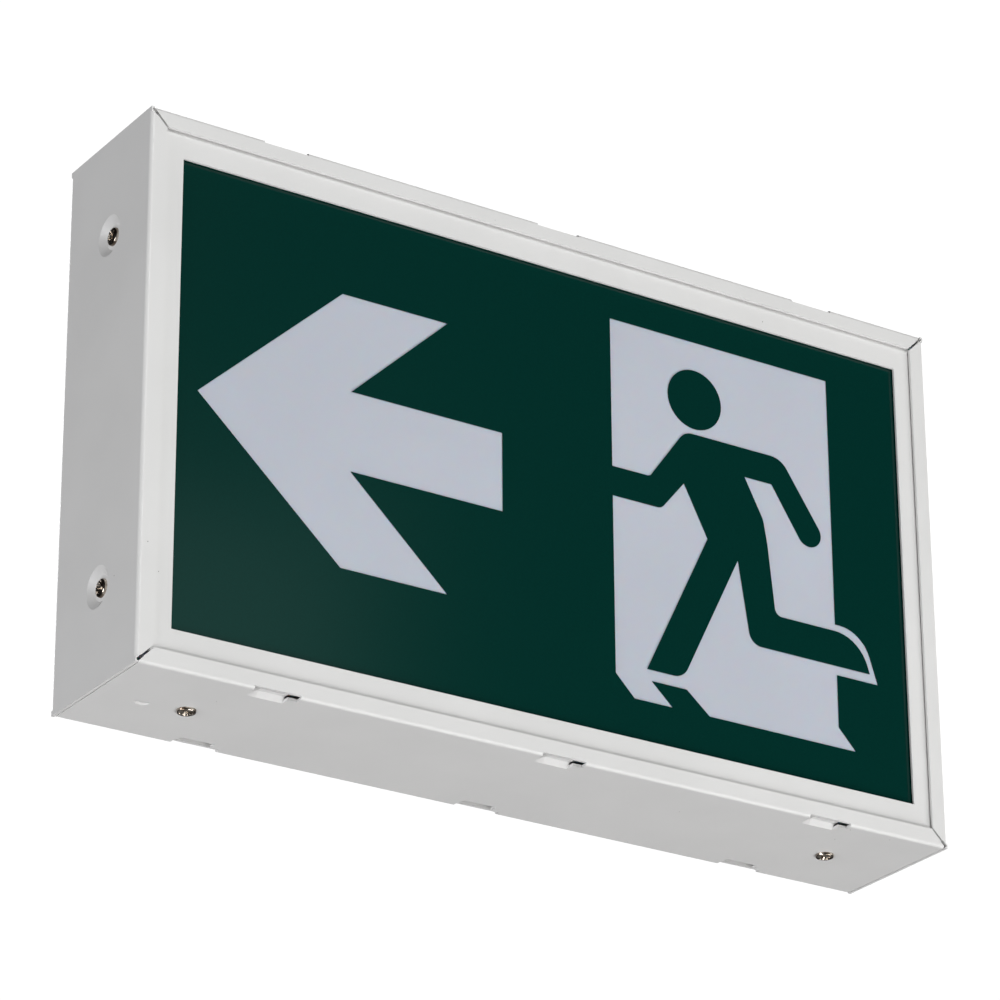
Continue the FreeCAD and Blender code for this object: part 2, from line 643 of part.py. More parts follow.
soften(light_tray, "long_bends", "tray_bend", ALONG_X,
       lambda point: near(point.y, tray_rear) and near(abs(point.z), tray_end))
soften(light_tray, "short_bends", "tray_bend", ALONG_Z,
       lambda point: near(point.y, tray_rear) and near(abs(point.x), tray_side))
tongue_notch = brick(light_tray, "Subtractive", "tongue_notch",
                     (LEFT + "+slot_start-tray_notch", TRAY_FACE + "-1", FOOT + "+skin-1"),
                     ("slot_length+2*tray_notch",
                      "tongue_root-legend_setback-legend_skin-diffuser_skin+1.5",
                      "tray_skin+2"))
repeat(light_tray, "tongue_notches", [tongue_notch],
       [("row", "X_Axis", "2*slot_pitch", 3), ("mirror", "XY_Plane")])
panel_holes = [
    round_bar(light_tray, "Subtractive", name, (across, FRONT + "+panel_screw_depth", FOOT),
              "screw_hole/2", "skin+tray_skin+1")
    for name, across in (("panel_hole_left", LEFT + "+panel_screw_left"),
                         ("panel_hole_right", "overall_width/2-panel_screw_right"))
]
repeat(light_tray, "panel_holes", panel_holes, [("turn", "X_Axis", 2)])
END_SCREWS = [(end, up) for end in ("left", "right") for up in ("upper", "lower")]
END_DEPTH = {"left": FRONT + "+dimple_depth_place", "right": "overall_depth/2-dimple_depth_place"}
for end, up in END_SCREWS:
    start = LEFT if end == "left" else "overall_width/2-8"
    round_bar(light_tray, "Subtractive", f"{end}_{up}_hole",
              (start, END_DEPTH[end], END_HEIGHT[up]), "screw_hole/2", "8", TURN_X)
SMALL_SCREWS = [
    ("case_left", "case_place-case_length/2-case_ear/2", "ear_rise"),
    ("case_right", "case_place+case_length/2+case_ear/2", "ear_rise"),
    ("block_low", "-block_place", "-pole_pitch/2"),
    ("block_high", "-block_place", "pole_pitch/2"),
]
RIVETS = [(across, up) for across in ("-rivet_place", "0", "rivet_place")
          for up in ("led_row", "-led_row")]
discs(light_tray, "Pocket", "web_holes", WEB_REAR + "-tray_skin-1", "tray_skin+2",
      [("0", "0", "grommet_waist"), ("-ground_place", "0", "ground_shank")]
      + [(across, up, "rivet_radius") for across, up in RIVETS]
      + [(across, up, "small_shank") for _, across, up in SMALL_SCREWS])


# ------------------------------------------------------------------------ screws

def turned(body, name, role, offset, across, up, axis, corners):
    """Revolution of a polygon about its sketch's own horizontal or vertical axis."""
    sketch = polygon(sketch_on(body, name + "_profile", role, offset, across, up), corners)
    turn = body.newObject("PartDesign::Revolution", name)
    turn.Profile = sketch
    turn.ReferenceAxis = (sketch, [axis])
    turn.Angle = 360
    body.Tip = turn
    return turn


def screw_profile(upright, way):
    """Half section of a housing screw: radius against the distance under the head."""
    r, h, s, end = (size(alias) for alias in
                    ("head_radius", "head_height", "shank_radius", "shank_length"))
    section = [
        (0, -h, "0", "-head_height"),
        (0.45 * r, -h, "0.45*head_radius", "-head_height"),
        (0.82 * r, -0.8 * h, "0.82*head_radius", "-0.8*head_height"),
        (r, -0.4 * h, "head_radius", "-0.4*head_height"),
        (r, 0, "head_radius", "0"),
        (s, 0, "shank_radius", "0"),
        (s, end - 0.8, "shank_radius", "shank_length-0.8"),
        (s - 0.6, end, "shank_radius-0.6", "shank_length"),
        (0, end, "0", "shank_length"),
    ]
    corners = []
    for radius, along, across, up in section:
        along, up = way * along, f"{way}*({up})"
        if upright:
            corners.append(((radius, along), across, up))
        else:
            corners.append(((along, radius), up, across))
    return corners


side_screws = new_body("side_screws")
for end, up in END_SCREWS:
    way = 1 if end == "left" else -1
    name, height, depth = f"{end}_{up}", END_HEIGHT[up], END_DEPTH[end]
    across = f"{-way}*(overall_width/2-dimple_press)"
    turned(side_screws, name, "XY_Plane", height, across, depth, "H_Axis",
           screw_profile(False, way))
    for blade, wide, tall in (("up", "recess_width", "recess_span"),
                              ("flat", "recess_span", "recess_width")):
        brick(side_screws, "Subtractive", f"{name}_{blade}",
              (f"{across}-head_height-1" if way > 0 else f"{across}+head_height-recess_depth",
               f"{depth}-{wide}/2", f"{height}-{tall}/2"),
              ("recess_depth+1", wide, tall))

PANEL_SCREWS = [
    ("bottom_left", LEFT + "+panel_screw_left", 1),
    ("bottom_right", "overall_width/2-panel_screw_right", 1),
    ("top_left", LEFT + "+panel_screw_left", -1),
    ("top_right", "overall_width/2-panel_screw_right", -1),
]
panel_screws = new_body("panel_screws")
for name, across, way in PANEL_SCREWS:
    depth = f"{way}*({FRONT}+panel_screw_depth)"
    seat = f"{-way}*overall_height/2"
    turned(panel_screws, name, "XZ_Plane", f"-({depth})", across, seat, "V_Axis",
           screw_profile(True, way))
    for blade, wide, deep in (("across", "recess_span", "recess_width"),
                              ("along", "recess_width", "recess_span")):
        brick(panel_screws, "Subtractive", f"{name}_{blade}",
              (f"{across}-{wide}/2", f"{depth}-{deep}/2",
               f"{seat}-head_height-1" if way > 0 else f"{seat}+head_height-recess_depth"),
              (wide, deep, "recess_depth+1"))

clinch_nuts = new_body("clinch_nuts")
for end, up in END_SCREWS:
    way = 1 if end == "left" else -1
    across = f"{-way}*(overall_width/2-skin-dimple_press-tray_skin)"
    turn = TURN_X if way > 0 else TURN_LEFT
    low = (across, END_DEPTH[end], END_HEIGHT[up])
    round_bar(clinch_nuts, "Additive", f"{end}_{up}_nut", low, "nut_radius", "nut_height", turn)
    round_bar(clinch_nuts, "Subtractive", f"{end}_{up}_thread", low,
              "shank_radius", "nut_height", turn)
for name, across, way in PANEL_SCREWS:
    depth = f"{way}*({FRONT}+panel_screw_depth)"
    low = ("overall_height/2-skin-tray_skin-nut_height" if way < 0
           else FOOT + "+skin+tray_skin")
    round_bar(clinch_nuts, "Additive", name + "_nut", (across, depth, low),
              "nut_radius", "nut_height")
    round_bar(clinch_nuts, "Subtractive", name + "_thread", (across, depth, low),
              "shank_radius", "nut_height")


# ------------------------------------------------------------------ light boards

BOARD_FACE = FRONT + "+tray_web-board_skin"


def light_board(label, level):
    """Circuit board strip with three rivet holes, on the front of the tray web."""
    body = new_body(label)
    brick(body, "Additive", "strip", ("-board_length/2", BOARD_FACE, level + "-board_height/2"),
          ("board_length", "board_skin", "board_height"))
    discs(body, "Pocket", "rivet_holes", BOARD_FACE + "-1", "board_skin+2",
          [(across, level, "rivet_radius") for across in ("-rivet_place", "0", "rivet_place")])
    return body


def led_row(label, level):
    """Eight packages, each with a domed lens, along one board."""
    body = new_body(label)
    parts = [
        brick(body, "Additive", "package",
              ("-3.5*led_pitch-led_side/2", BOARD_FACE + "-led_height", level + "-led_side/2"),
              ("led_side", "led_height", "led_side")),
        dome(body, "lens", ("-3.5*led_pitch", BOARD_FACE + "-led_height", level),
             "lens_radius"),
    ]
    repeat(body, "row", parts, [("row", "X_Axis", "7*led_pitch", 8)])
    return body


upper_led_board = light_board("upper_led_board", "led_row")
lower_led_board = light_board("lower_led_board", "-led_row")
upper_leds = led_row("upper_leds", "led_row")
lower_leds = led_row("lower_leds", "-led_row")

board_rivets = new_body("board_rivets")
for index, (across, up) in enumerate(RIVETS):
    cone(board_rivets, "Additive", f"head_{index}", (across, BOARD_FACE, up),
         ("rivet_head", "rivet_head*0.6"), "1.2", TURN_FRONT)
    round_bar(board_rivets, "Additive", f"shank_{index}", (across, BOARD_FACE, up),
              "rivet_radius", "board_skin+tray_skin", TURN_REAR)
    cone(board_rivets, "Additive", f"barb_{index}", (across, WEB_REAR, up),
         ("rivet_radius*1.4", "rivet_radius*0.8"), "2.4", TURN_REAR)

board_connectors = new_body("board_connectors")
connector = [
    brick(board_connectors, "Additive", "shell",
          ("connector_place-4", BOARD_FACE + "-5", "led_row-board_height/2-1"), ("8", "5", "7")),
    round_bar(board_connectors, "Subtractive", "socket",
              ("connector_place", BOARD_FACE + "-2.5", "led_row-board_height/2-2"),
              "twin_radius", "4"),
]
repeat(board_connectors, "pair", connector, [("mirror", "XY_Plane")])

lead_grommet = new_body("lead_grommet")
for name, low, radius, length in (
        ("front_lip", WEB_REAR + "-tray_skin-1", "grommet_radius", "1"),
        ("waist", WEB_REAR + "-tray_skin", "grommet_waist", "tray_skin"),
        ("rear_lip", WEB_REAR, "grommet_radius", "1")):
    round_bar(lead_grommet, "Additive", name, ("0", low, "0"), radius, length, TURN_REAR)
round_bar(lead_grommet, "Subtractive", "bore", ("0", WEB_REAR + "-tray_skin-2", "0"),
          "grommet_bore", "tray_skin+4", TURN_REAR)


# ------------------------------------------------------------------ driver and supply

CASE_LEFT = "case_place-case_length/2"
BOARD_SEAT = WEB_REAR + "+case_wall+case_boss"
LEAD_LINE = FRONT + "+lead_depth"

driver_case = new_body("driver_case")
brick(driver_case, "Additive", "blank", (CASE_LEFT, WEB_REAR, "-case_height/2"),
      ("case_length", "case_depth-case_wall", "case_height"))
brick(driver_case, "Subtractive", "inside",
      (CASE_LEFT + "+case_wall", WEB_REAR + "+case_wall", "case_wall-case_height/2"),
      ("case_length-2*case_wall", "case_depth", "case_height-2*case_wall"))
discs(driver_case, "Pad", "bosses", WEB_REAR + "+case_wall", "case_boss",
      [(f"case_place{across}(case_length/2-8)", f"{up}(case_height/2-7)", "2.5")
       for across in "-+" for up in "-+"])
for name, across in (("left_ear", CASE_LEFT + "-case_ear"),
                     ("right_ear", CASE_LEFT + "+case_length")):
    brick(driver_case, "Additive", name, (across, WEB_REAR, "ear_rise-6"),
          ("case_ear", "1.6", "12"))
    round_bar(driver_case, "Subtractive", name + "_hole",
              (across + "+case_ear/2", WEB_REAR + "-1", "ear_rise"),
              "small_shank", "4", TURN_REAR)
for name, up, radius in (("upper_supply_hole", "supply_rise", "lead_radius"),
                         ("upper_twin_hole", "twin_rise", "twin_radius"),
                         ("lower_twin_hole", "-twin_rise", "twin_radius"),
                         ("lower_supply_hole", "-supply_rise", "lead_radius")):
    round_bar(driver_case, "Subtractive", name, (CASE_LEFT + "-1", LEAD_LINE, up),
              radius, "case_wall+2", TURN_X)

driver_lid = new_body("driver_lid")
brick(driver_lid, "Additive", "cover",
      (CASE_LEFT, WEB_REAR + "+case_depth-case_wall", "-case_height/2"),
      ("case_length", "case_wall", "case_height"))
brick(driver_lid, "Additive", "rim",
      (CASE_LEFT + "+case_wall", WEB_REAR + "+case_depth-case_wall-1.5",
       "case_wall-case_height/2"),
      ("case_length-2*case_wall", "1.5", "case_height-2*case_wall"))
brick(driver_lid, "Subtractive", "rim_inside",
      (CASE_LEFT + "+2*case_wall", WEB_REAR + "+case_depth-case_wall-2.5",
       "2*case_wall-case_height/2"),
      ("case_length-4*case_wall", "2.5", "case_height-4*case_wall"))

driver_board = new_body("driver_board")
brick(driver_board, "Additive", "card",
      (CASE_LEFT + "+4", BOARD_SEAT, "-case_height/2+3"),
      ("case_length-8", "board_skin", "case_height-6"))

driver_transformer = new_body("driver_transformer")
brick(driver_transformer, "Additive", "core",
      ("case_place-6", BOARD_SEAT + "+board_skin", "-9"), ("20", "6.4", "18"))
brick(driver_transformer, "Additive", "bobbin",
      ("case_place-9", BOARD_SEAT + "+board_skin", "-6.5"), ("26", "5.6", "13"))

driver_capacitor = new_body("driver_capacitor")
round_bar(driver_capacitor, "Additive", "can",
          ("case_place-34", BOARD_SEAT + "+board_skin+3", "-8"), "3", "16")

driver_choke = new_body("driver_choke")
for name, low, radius, length in (
        ("lower_flange", "0", "4.2", "1.2"),
        ("winding", "1.2", "3.3", "3.6"),
        ("upper_flange", "4.8", "4.2", "1.2")):
    round_bar(driver_choke, "Additive", name,
              ("case_place+33", BOARD_SEAT + "+board_skin+" + low, "0"),
              radius, length, TURN_REAR)

terminal_block = new_body("terminal_block")
brick(terminal_block, "Additive", "moulding",
      ("-block_place-block_width/2", WEB_REAR, "-block_length/2"),
      ("block_width", "block_depth", "block_length"))
POLES = ("-pole_pitch", "0", "pole_pitch")
WELLS = [(f"{side}6-block_place", up, "2.2") for side in "-+" for up in POLES]
discs(terminal_block, "Pocket", "fixing_wells", WEB_REAR + "+4", "block_depth",
      [("-block_place", up, "small_head+0.2") for up in ("-pole_pitch/2", "pole_pitch/2")])
discs(terminal_block, "Pocket", "fixing_holes", WEB_REAR + "-1", "6",
      [("-block_place", up, "small_shank") for up in ("-pole_pitch/2", "pole_pitch/2")])
discs(terminal_block, "Pocket", "screw_wells", WEB_REAR + "+block_depth-4", "5", WELLS)
for name, up in zip(("low", "middle", "high"), POLES):
    round_bar(terminal_block, "Subtractive", name + "_lead_entry",
              ("4-block_place", LEAD_LINE, up), "lead_radius", "block_width", TURN_X)
    round_bar(terminal_block, "Subtractive", name + "_supply_entry",
              ("-block_place-4", LEAD_LINE, up), "1.6", "block_width", TURN_LEFT)

terminal_screws = new_body("terminal_screws")
discs(terminal_screws, "Pad", "screws", WEB_REAR + "+block_depth-4", "1.8",
      [(across, up, "2") for across, up, _ in WELLS])
for index, (across, up, _) in enumerate(WELLS):
    brick(terminal_screws, "Subtractive", f"slot_{index}",
          (across + "-0.35", WEB_REAR + "+block_depth-3.2", up + "-2.5"), ("0.7", "2", "5"))

fixing_screws = new_body("fixing_screws")
for name, across, up in SMALL_SCREWS:
    seat_at = WEB_REAR + ("+1.6" if name.startswith("case") else "+4")
    under = "1.6" if name.startswith("case") else "4"
    cone(fixing_screws, "Additive", name + "_head", (across, seat_at, up),
         ("small_head", "small_head*0.7"), "1.8", TURN_REAR)
    round_bar(fixing_screws, "Additive", name + "_shank", (across, seat_at, up),
              "small_shank", f"{under}+tray_skin+1.4", TURN_FRONT)
    brick(fixing_screws, "Subtractive", name + "_slot",
          (across + "-2.2", seat_at + "+1", up + "-0.35"), ("4.4", "1.5", "0.7"))

ground_screw = new_body("ground_screw")
round_bar(ground_screw, "Additive", "shank", ("-ground_place", WEB_REAR + "+0.8", "0"),
          "ground_shank", "tray_skin+4.4", TURN_FRONT)
round_bar(ground_screw, "Additive", "head", ("-ground_place", WEB_REAR + "+0.8", "0"),
          "3.6", "2.6", TURN_REAR)
brick(ground_screw, "Subtractive", "slot", ("-ground_place-4", WEB_REAR + "+2.4", "-0.5"),
      ("8", "2", "1"))

ground_nut = new_body("ground_nut")
prism = ground_nut.newObject("PartDesign::AdditivePrism", "hexagon")
prism.Polygon = 6
prism.setExpression("Circumradius", "4.04")
prism.setExpression("Height", "2.4")
place(prism, ("-ground_place", WEB_REAR + "-tray_skin", "0"), TURN_FRONT)
round_bar(ground_nut, "Subtractive", "thread", ("-ground_place", WEB_REAR, "0"),
          "ground_shank", "6", TURN_FRONT)

ground_terminal = new_body("ground_terminal")
round_bar(ground_terminal, "Additive", "ring", ("-ground_place", WEB_REAR, "0"),
          "3.8", "0.8", TURN_REAR)
brick(ground_terminal, "Additive", "neck", ("-ground_place-7", WEB_REAR, "-1.4"),
      ("5", "0.8", "2.8"))
round_bar(ground_terminal, "Additive", "barrel", ("-ground_place-6", WEB_REAR + "+1.6", "0"),
          "1.6", "5", TURN_LEFT)
round_bar(ground_terminal, "Subtractive", "crimp", ("-ground_place-9", WEB_REAR + "+1.6", "0"),
          "lead_radius", "3", TURN_LEFT)
round_bar(ground_terminal, "Subtractive", "hole", ("-ground_place", WEB_REAR + "-1", "0"),
          "ground_shank", "3", TURN_REAR)


# ------------------------------------------------------------------------- leads

def lead(label, route, radius, bends):
    """Insulated lead along straight runs joined by tangent arcs."""
    points = [FreeCAD.Vector(*point) for point in route]
    edges = []
    start = points[0]
    for index in range(1, len(points) - 1):
        here = points[index]
        before = (points[index - 1] - here).normalize()
        after = (points[index + 1] - here).normalize()
        half = before.getAngle(after) / 2
        reach = bends / math.tan(half)
        inward = (before + after).normalize()
        crown = here + inward * (bends / math.sin(half) - bends)
        edges.append(Part.LineSegment(start, here + before * reach).toShape())
        edges.append(Part.Arc(here + before * reach, crown, here + after * reach).toShape())
        start = here + after * reach
    edges.append(Part.LineSegment(start, points[-1]).toShape())
    path = Part.Wire(edges)
    section = Part.Wire(Part.Circle(points[0], points[1] - points[0], radius).toShape())
    item = DOC.addObject("Part::Feature", label)
    item.Label = label
    item.Shape = path.makePipeShell([section], True, True)
    item.Placement = FreeCAD.Placement(
        FreeCAD.Vector(0, size("plate_setback") - HALF_D, 0), FreeCAD.Rotation())
    return item


lead_line = size("lead_depth") - HALF_D
board_face = size("tray_web") - size("board_skin") - HALF_D
case_left = size("case_place") - size("case_length") / 2
block_right = size("block_width") / 2 - size("block_place")
twin = size("twin_spread") / 2
socket = size("led_row") - size("board_height") / 2 - 1


def board_lead(label, side):
    rise = side * size("twin_rise")
    return lead(label, [
        (case_left + 4, lead_line, rise),
        (side * twin, lead_line, rise),
        (side * twin, lead_line, 0),
        (side * twin, board_face - 2.5, 0),
        (size("connector_place"), board_face - 2.5, side * (socket - 12)),
        (size("connector_place"), board_face - 2.5, side * (socket + 3)),
    ], size("twin_radius"), 1.9)


upper_board_lead = board_lead("upper_board_lead", 1)
lower_board_lead = board_lead("lower_board_lead", -1)


def supply_lead(label, side):
    level = side * size("supply_rise")
    return lead(label, [
        (block_right - 6, lead_line, level),
        (-20, lead_line, level),
        (-4, lead_line, level + side * 4),
        (case_left - 10, lead_line, level),
        (case_left + 4, lead_line, level),
    ], size("lead_radius"), 8)


line_lead = supply_lead("line_lead", 1)
neutral_lead = supply_lead("neutral_lead", -1)
ground_lead = lead("ground_lead", [
    (block_right - 6, lead_line, 0),
    (block_right + 4.5, lead_line, 0),
    (block_right + 8.5, tray_rear + 1.6, 0),
    (-size("ground_place") - 9, tray_rear + 1.6, 0),
], size("lead_radius"), 2)


# ------------------------------------------------------------- checks and export

DOC.recompute()
failed = [item.Name for item in DOC.Objects if {"Invalid", "Error"} & set(item.State)]
if failed:
    raise RuntimeError("failed objects: " + ", ".join(failed))

nodes = [item for item in DOC.Objects
         if item.TypeId == "PartDesign::Body" or item.TypeId == "Part::Feature"]
for node in nodes:
    if node.Shape.isNull() or not node.Shape.isValid() or not node.Shape.Solids:
        raise RuntimeError("bad shape: " + node.Label)

os.makedirs("parts", exist_ok=True)
for node in nodes:
    node.Shape.exportStep(f"parts/{node.Label}.step")
print(len(nodes), "nodes")
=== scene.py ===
"""Emergency exit light: materials, painted edges, screws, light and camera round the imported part."""
import json
import math

import bmesh
import bpy
from mathutils import Euler, Matrix, Vector


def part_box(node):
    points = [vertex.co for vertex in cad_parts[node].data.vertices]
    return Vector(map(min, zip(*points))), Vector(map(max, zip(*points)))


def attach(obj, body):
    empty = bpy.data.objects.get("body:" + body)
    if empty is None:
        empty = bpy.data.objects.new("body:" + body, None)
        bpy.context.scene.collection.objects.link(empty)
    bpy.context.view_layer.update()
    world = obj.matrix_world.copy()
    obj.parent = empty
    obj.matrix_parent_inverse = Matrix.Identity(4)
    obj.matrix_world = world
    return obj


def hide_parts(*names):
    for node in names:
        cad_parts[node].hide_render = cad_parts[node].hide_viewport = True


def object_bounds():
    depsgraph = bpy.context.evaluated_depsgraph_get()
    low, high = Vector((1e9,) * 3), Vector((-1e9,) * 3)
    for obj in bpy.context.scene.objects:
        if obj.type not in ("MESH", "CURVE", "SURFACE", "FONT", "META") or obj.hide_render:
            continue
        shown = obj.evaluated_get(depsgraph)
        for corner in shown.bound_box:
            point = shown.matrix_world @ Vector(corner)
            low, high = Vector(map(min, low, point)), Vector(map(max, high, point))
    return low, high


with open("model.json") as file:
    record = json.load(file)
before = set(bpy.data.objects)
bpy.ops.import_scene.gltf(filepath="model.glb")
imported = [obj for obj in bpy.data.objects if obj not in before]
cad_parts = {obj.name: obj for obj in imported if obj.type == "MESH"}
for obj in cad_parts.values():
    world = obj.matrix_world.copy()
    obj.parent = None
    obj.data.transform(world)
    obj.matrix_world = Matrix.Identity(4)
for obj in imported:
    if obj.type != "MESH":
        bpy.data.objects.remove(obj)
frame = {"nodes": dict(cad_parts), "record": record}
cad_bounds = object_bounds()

MM = 0.001
NODES = frame["nodes"]


# ---------------------------------------------------------------- node material kit

# Noise levels between which a pattern goes over from its first value to its second.
SOFT_FADE = (0.35, 0.65)
WIDE_FADE = (0.3, 0.7)
STAIN_FADE = (0.4, 0.62)
RARE_FADE = (0.58, 0.6)

# Sockets of the colour Mix node, which share their names and so go by number.
MIX_FACTOR = 0
MIX_FIRST = 6
MIX_SECOND = 7
MIX_COLOUR = 2

SPOT_CORE = 0.6  # share of a spot's radius inside which it is at full strength


def linear(*srgb):
    """Colour of a surface from its 0-255 screen values."""
    parts = [value / 255 for value in srgb]
    return [p / 12.92 if p <= 0.04045 else ((p + 0.055) / 1.055) ** 2.4 for p in parts] + [1.0]


def toned(colour, factor):
    """The same colour made darker, or lighter up to white."""
    return [min(1.0, channel * factor) for channel in colour[:3]] + [1.0]


class Kit:
    """A node material with a Principled shader and helpers to wire its inputs."""

    def __init__(self, name, **sockets):
        self.material = bpy.data.materials.new(name)
        self.material.use_nodes = True
        self.tree = self.material.node_tree
        self.shader = self.tree.nodes["Principled BSDF"]
        self.place = self.node("ShaderNodeTexCoord").outputs["Object"]
        for label, value in sockets.items():
            self.shader.inputs[label.replace("_", " ")].default_value = value

    def node(self, kind, inputs=None, **settings):
        """New node, whose inputs are given as plain values or as the sockets that feed them."""
        item = self.tree.nodes.new(kind)
        for name, value in settings.items():
            setattr(item, name, value)
        for name, value in (inputs or {}).items():
            if isinstance(value, bpy.types.NodeSocket):
                self.tree.links.new(value, item.inputs[name])
            else:
                item.inputs[name].default_value = value
        return item

    def noise(self, size_mm, detail=3):
        """Cloudy value whose lumps are about this size."""
        return self.node("ShaderNodeTexNoise", {
            "Vector": self.place, "Scale": 1 / (size_mm * MM), "Detail": detail}).outputs["Fac"]

    def spots(self, spacing_mm, radius):
        """One at the middle of scattered cells and nought outside the radius, in cells."""
        cells = self.node("ShaderNodeTexVoronoi", {
            "Vector": self.place, "Scale": 1 / (spacing_mm * MM)}).outputs["Distance"]
        return self.span(cells, (radius, radius * SPOT_CORE))

    def span(self, value, fade, start=0.0, end=1.0):
        """Goes from start to end while the value goes through the fade, and stays there."""
        return self.node("ShaderNodeMapRange", {
            "Value": value, "From Min": fade[0], "From Max": fade[1],
            "To Min": start, "To Max": end}).outputs["Result"]

    def both(self, first, second):
        """The product of two values, which is one only where both are."""
        return self.node("ShaderNodeMath", {0: first, 1: second}, operation="MULTIPLY").outputs[0]

    def mix(self, factor, first, second):
        """Colour between two colours or sockets."""
        return self.node("ShaderNodeMix", {
            MIX_FACTOR: factor, MIX_FIRST: first, MIX_SECOND: second},
            data_type="RGBA").outputs[MIX_COLOUR]

    def feed(self, label, value):
        """Wires a socket into the shader."""
        self.tree.links.new(value, self.shader.inputs[label])

    def bump(self, height, depth_mm):
        """Relief of at most this depth over the whole surface."""
        lumps = self.node("ShaderNodeBump", {"Height": height, "Distance": depth_mm * MM})
        self.feed("Normal", lumps.outputs["Normal"])


def powder_coat(name, colour, rough, specks=True):
    """Satin powder coat: faint clouds, fine orange peel and a few specks of dust."""
    kit = Kit(name, Roughness=rough)
    clouds = kit.span(kit.noise(size_mm=38, detail=2), SOFT_FADE)
    coat = kit.mix(clouds, toned(colour, factor=0.965), colour)
    if specks:
        here_and_there = kit.span(kit.noise(size_mm=47, detail=0), RARE_FADE)
        dust = kit.both(kit.spots(spacing_mm=6.5, radius=0.034), here_and_there)
        coat = kit.mix(dust, coat, linear(96, 88, 82))
    kit.feed("Base Color", coat)
    gloss = kit.noise(size_mm=6, detail=4)
    kit.feed("Roughness", kit.span(gloss, WIDE_FADE, start=rough - 0.04, end=rough + 0.04))
    kit.bump(kit.noise(size_mm=0.9, detail=2), depth_mm=0.012)
    return kit.material


def plastic(name, colour, rough):
    """Moulded or cast plastic and rubber with a fine grain."""
    kit = Kit(name, Roughness=rough)
    clouds = kit.span(kit.noise(size_mm=14), SOFT_FADE)
    kit.feed("Base Color", kit.mix(clouds, toned(colour, factor=0.93), colour))
    gloss = kit.noise(size_mm=3)
    kit.feed("Roughness", kit.span(gloss, WIDE_FADE, start=rough * 0.9, end=rough * 1.1))
    kit.bump(kit.noise(size_mm=0.6), depth_mm=0.008)
    return kit.material


def metal(name, colour, tarnish, rough, stain_mm=1.6):
    """Plated metal with stains in the plating and tiny dents."""
    kit = Kit(name, Metallic=1.0, Roughness=rough)
    stains = kit.span(kit.noise(stain_mm), STAIN_FADE)
    kit.feed("Base Color", kit.mix(stains, colour, tarnish))
    gloss = kit.noise(size_mm=0.8, detail=4)
    kit.feed("Roughness", kit.span(gloss, WIDE_FADE, start=rough * 0.7, end=rough * 1.4))
    kit.bump(kit.noise(size_mm=0.7, detail=2), depth_mm=0.005)
    return kit.material


def printed_film(name, colour, rough):
    """Gloss ink on a thin film: dense, with the slightest ripple of the sheet."""
    kit = Kit(name, Roughness=rough, Specular_IOR_Level=0.35)
    grain = kit.span(kit.noise(size_mm=0.8, detail=2), WIDE_FADE)
    kit.feed("Base Color", kit.mix(grain, toned(colour, factor=0.88), colour))
    kit.bump(kit.noise(size_mm=70, detail=1), depth_mm=0.08)
    return kit.material


def opal(name, colour):
    """Opal acrylic: light soaks into it, with faint mottling."""
    kit = Kit(name, Roughness=0.22, Subsurface_Weight=0.35, Subsurface_Scale=0.003)
    mottling = kit.span(kit.noise(size_mm=80, detail=2), SOFT_FADE)
    kit.feed("Base Color", kit.mix(mottling, colour, toned(colour, factor=1.04)))
    kit.bump(kit.noise(size_mm=50, detail=1), depth_mm=0.05)
    return kit.material


FINISHES = {
    "housing_paint": powder_coat("housing_paint", linear(226, 225, 224), 0.42),
    "tray_paint": powder_coat("tray_paint", linear(240, 240, 238), 0.6, specks=False),
    "legend_green": printed_film("legend_green", linear(0, 48, 42), 0.14),
    "opal_acrylic": opal("opal_acrylic", linear(193, 197, 208)),
    "screw_nickel": metal("screw_nickel", linear(214, 204, 192), linear(112, 98, 85), 0.15, stain_mm=3.2),
    "zinc_steel": metal("zinc_steel", linear(205, 207, 210), linear(160, 163, 170), 0.34),
    "ground_green": metal("ground_green", linear(20, 120, 58), linear(12, 84, 40), 0.35),
    "tinned_brass": metal("tinned_brass", linear(212, 206, 186), linear(170, 156, 120), 0.3),
    "board_white": plastic("board_white", linear(236, 236, 232), 0.4),
    "board_green": plastic("board_green", linear(20, 92, 56), 0.35),
    "led_phosphor": plastic("led_phosphor", linear(236, 214, 120), 0.3),
    "natural_nylon": plastic("natural_nylon", linear(226, 222, 204), 0.45),
    "black_rubber": plastic("black_rubber", linear(30, 30, 31), 0.7),
    "case_plastic": plastic("case_plastic", linear(222, 222, 219), 0.5),
    "dark_ferrite": plastic("dark_ferrite", linear(44, 44, 47), 0.6),
    "capacitor_sleeve": plastic("capacitor_sleeve", linear(28, 29, 34), 0.25),
    "white_jacket": plastic("white_jacket", linear(228, 227, 222), 0.45),
    "black_jacket": plastic("black_jacket", linear(32, 32, 33), 0.45),
    "green_jacket": plastic("green_jacket", linear(26, 118, 56), 0.45),
}
SLOT_OF = {item["node"]: item["material_slot"] for item in frame["record"]["subparts"]}
for label, thing in NODES.items():
    for pocket in thing.material_slots:
        pocket.material = FINISHES[SLOT_OF[label]]


# ------------------------------------------------------------------ painted sheet

PANEL_EDGE_MM = 0.07   # how far the paint rounds each sheet's cut edges
FRONT_EDGE_MM = 0.12
REAR_EDGE_MM = 0.1
EDGE_STEPS = 3
EDGE_FROM = math.radians(32)     # a turn sharper than this is a cut edge
FLAT_WITHIN = math.radians(0.6)  # facets that turn less than this become one face
WELD = 0.002 * MM
LARGE_FACES_RULE = 100           # the modifier's highest weight, which keeps them flat


def piece_from(name, mesh):
    """Puts a mesh in the scene."""
    thing = bpy.data.objects.new(name, mesh)
    bpy.context.scene.collection.objects.link(thing)
    return thing


def finished(piece, node, slot):
    """Ride, stand for a CAD node and take a finish."""
    piece.data.materials.clear()
    piece.data.materials.append(FINISHES[slot])
    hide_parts(node)
    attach(piece, "root")


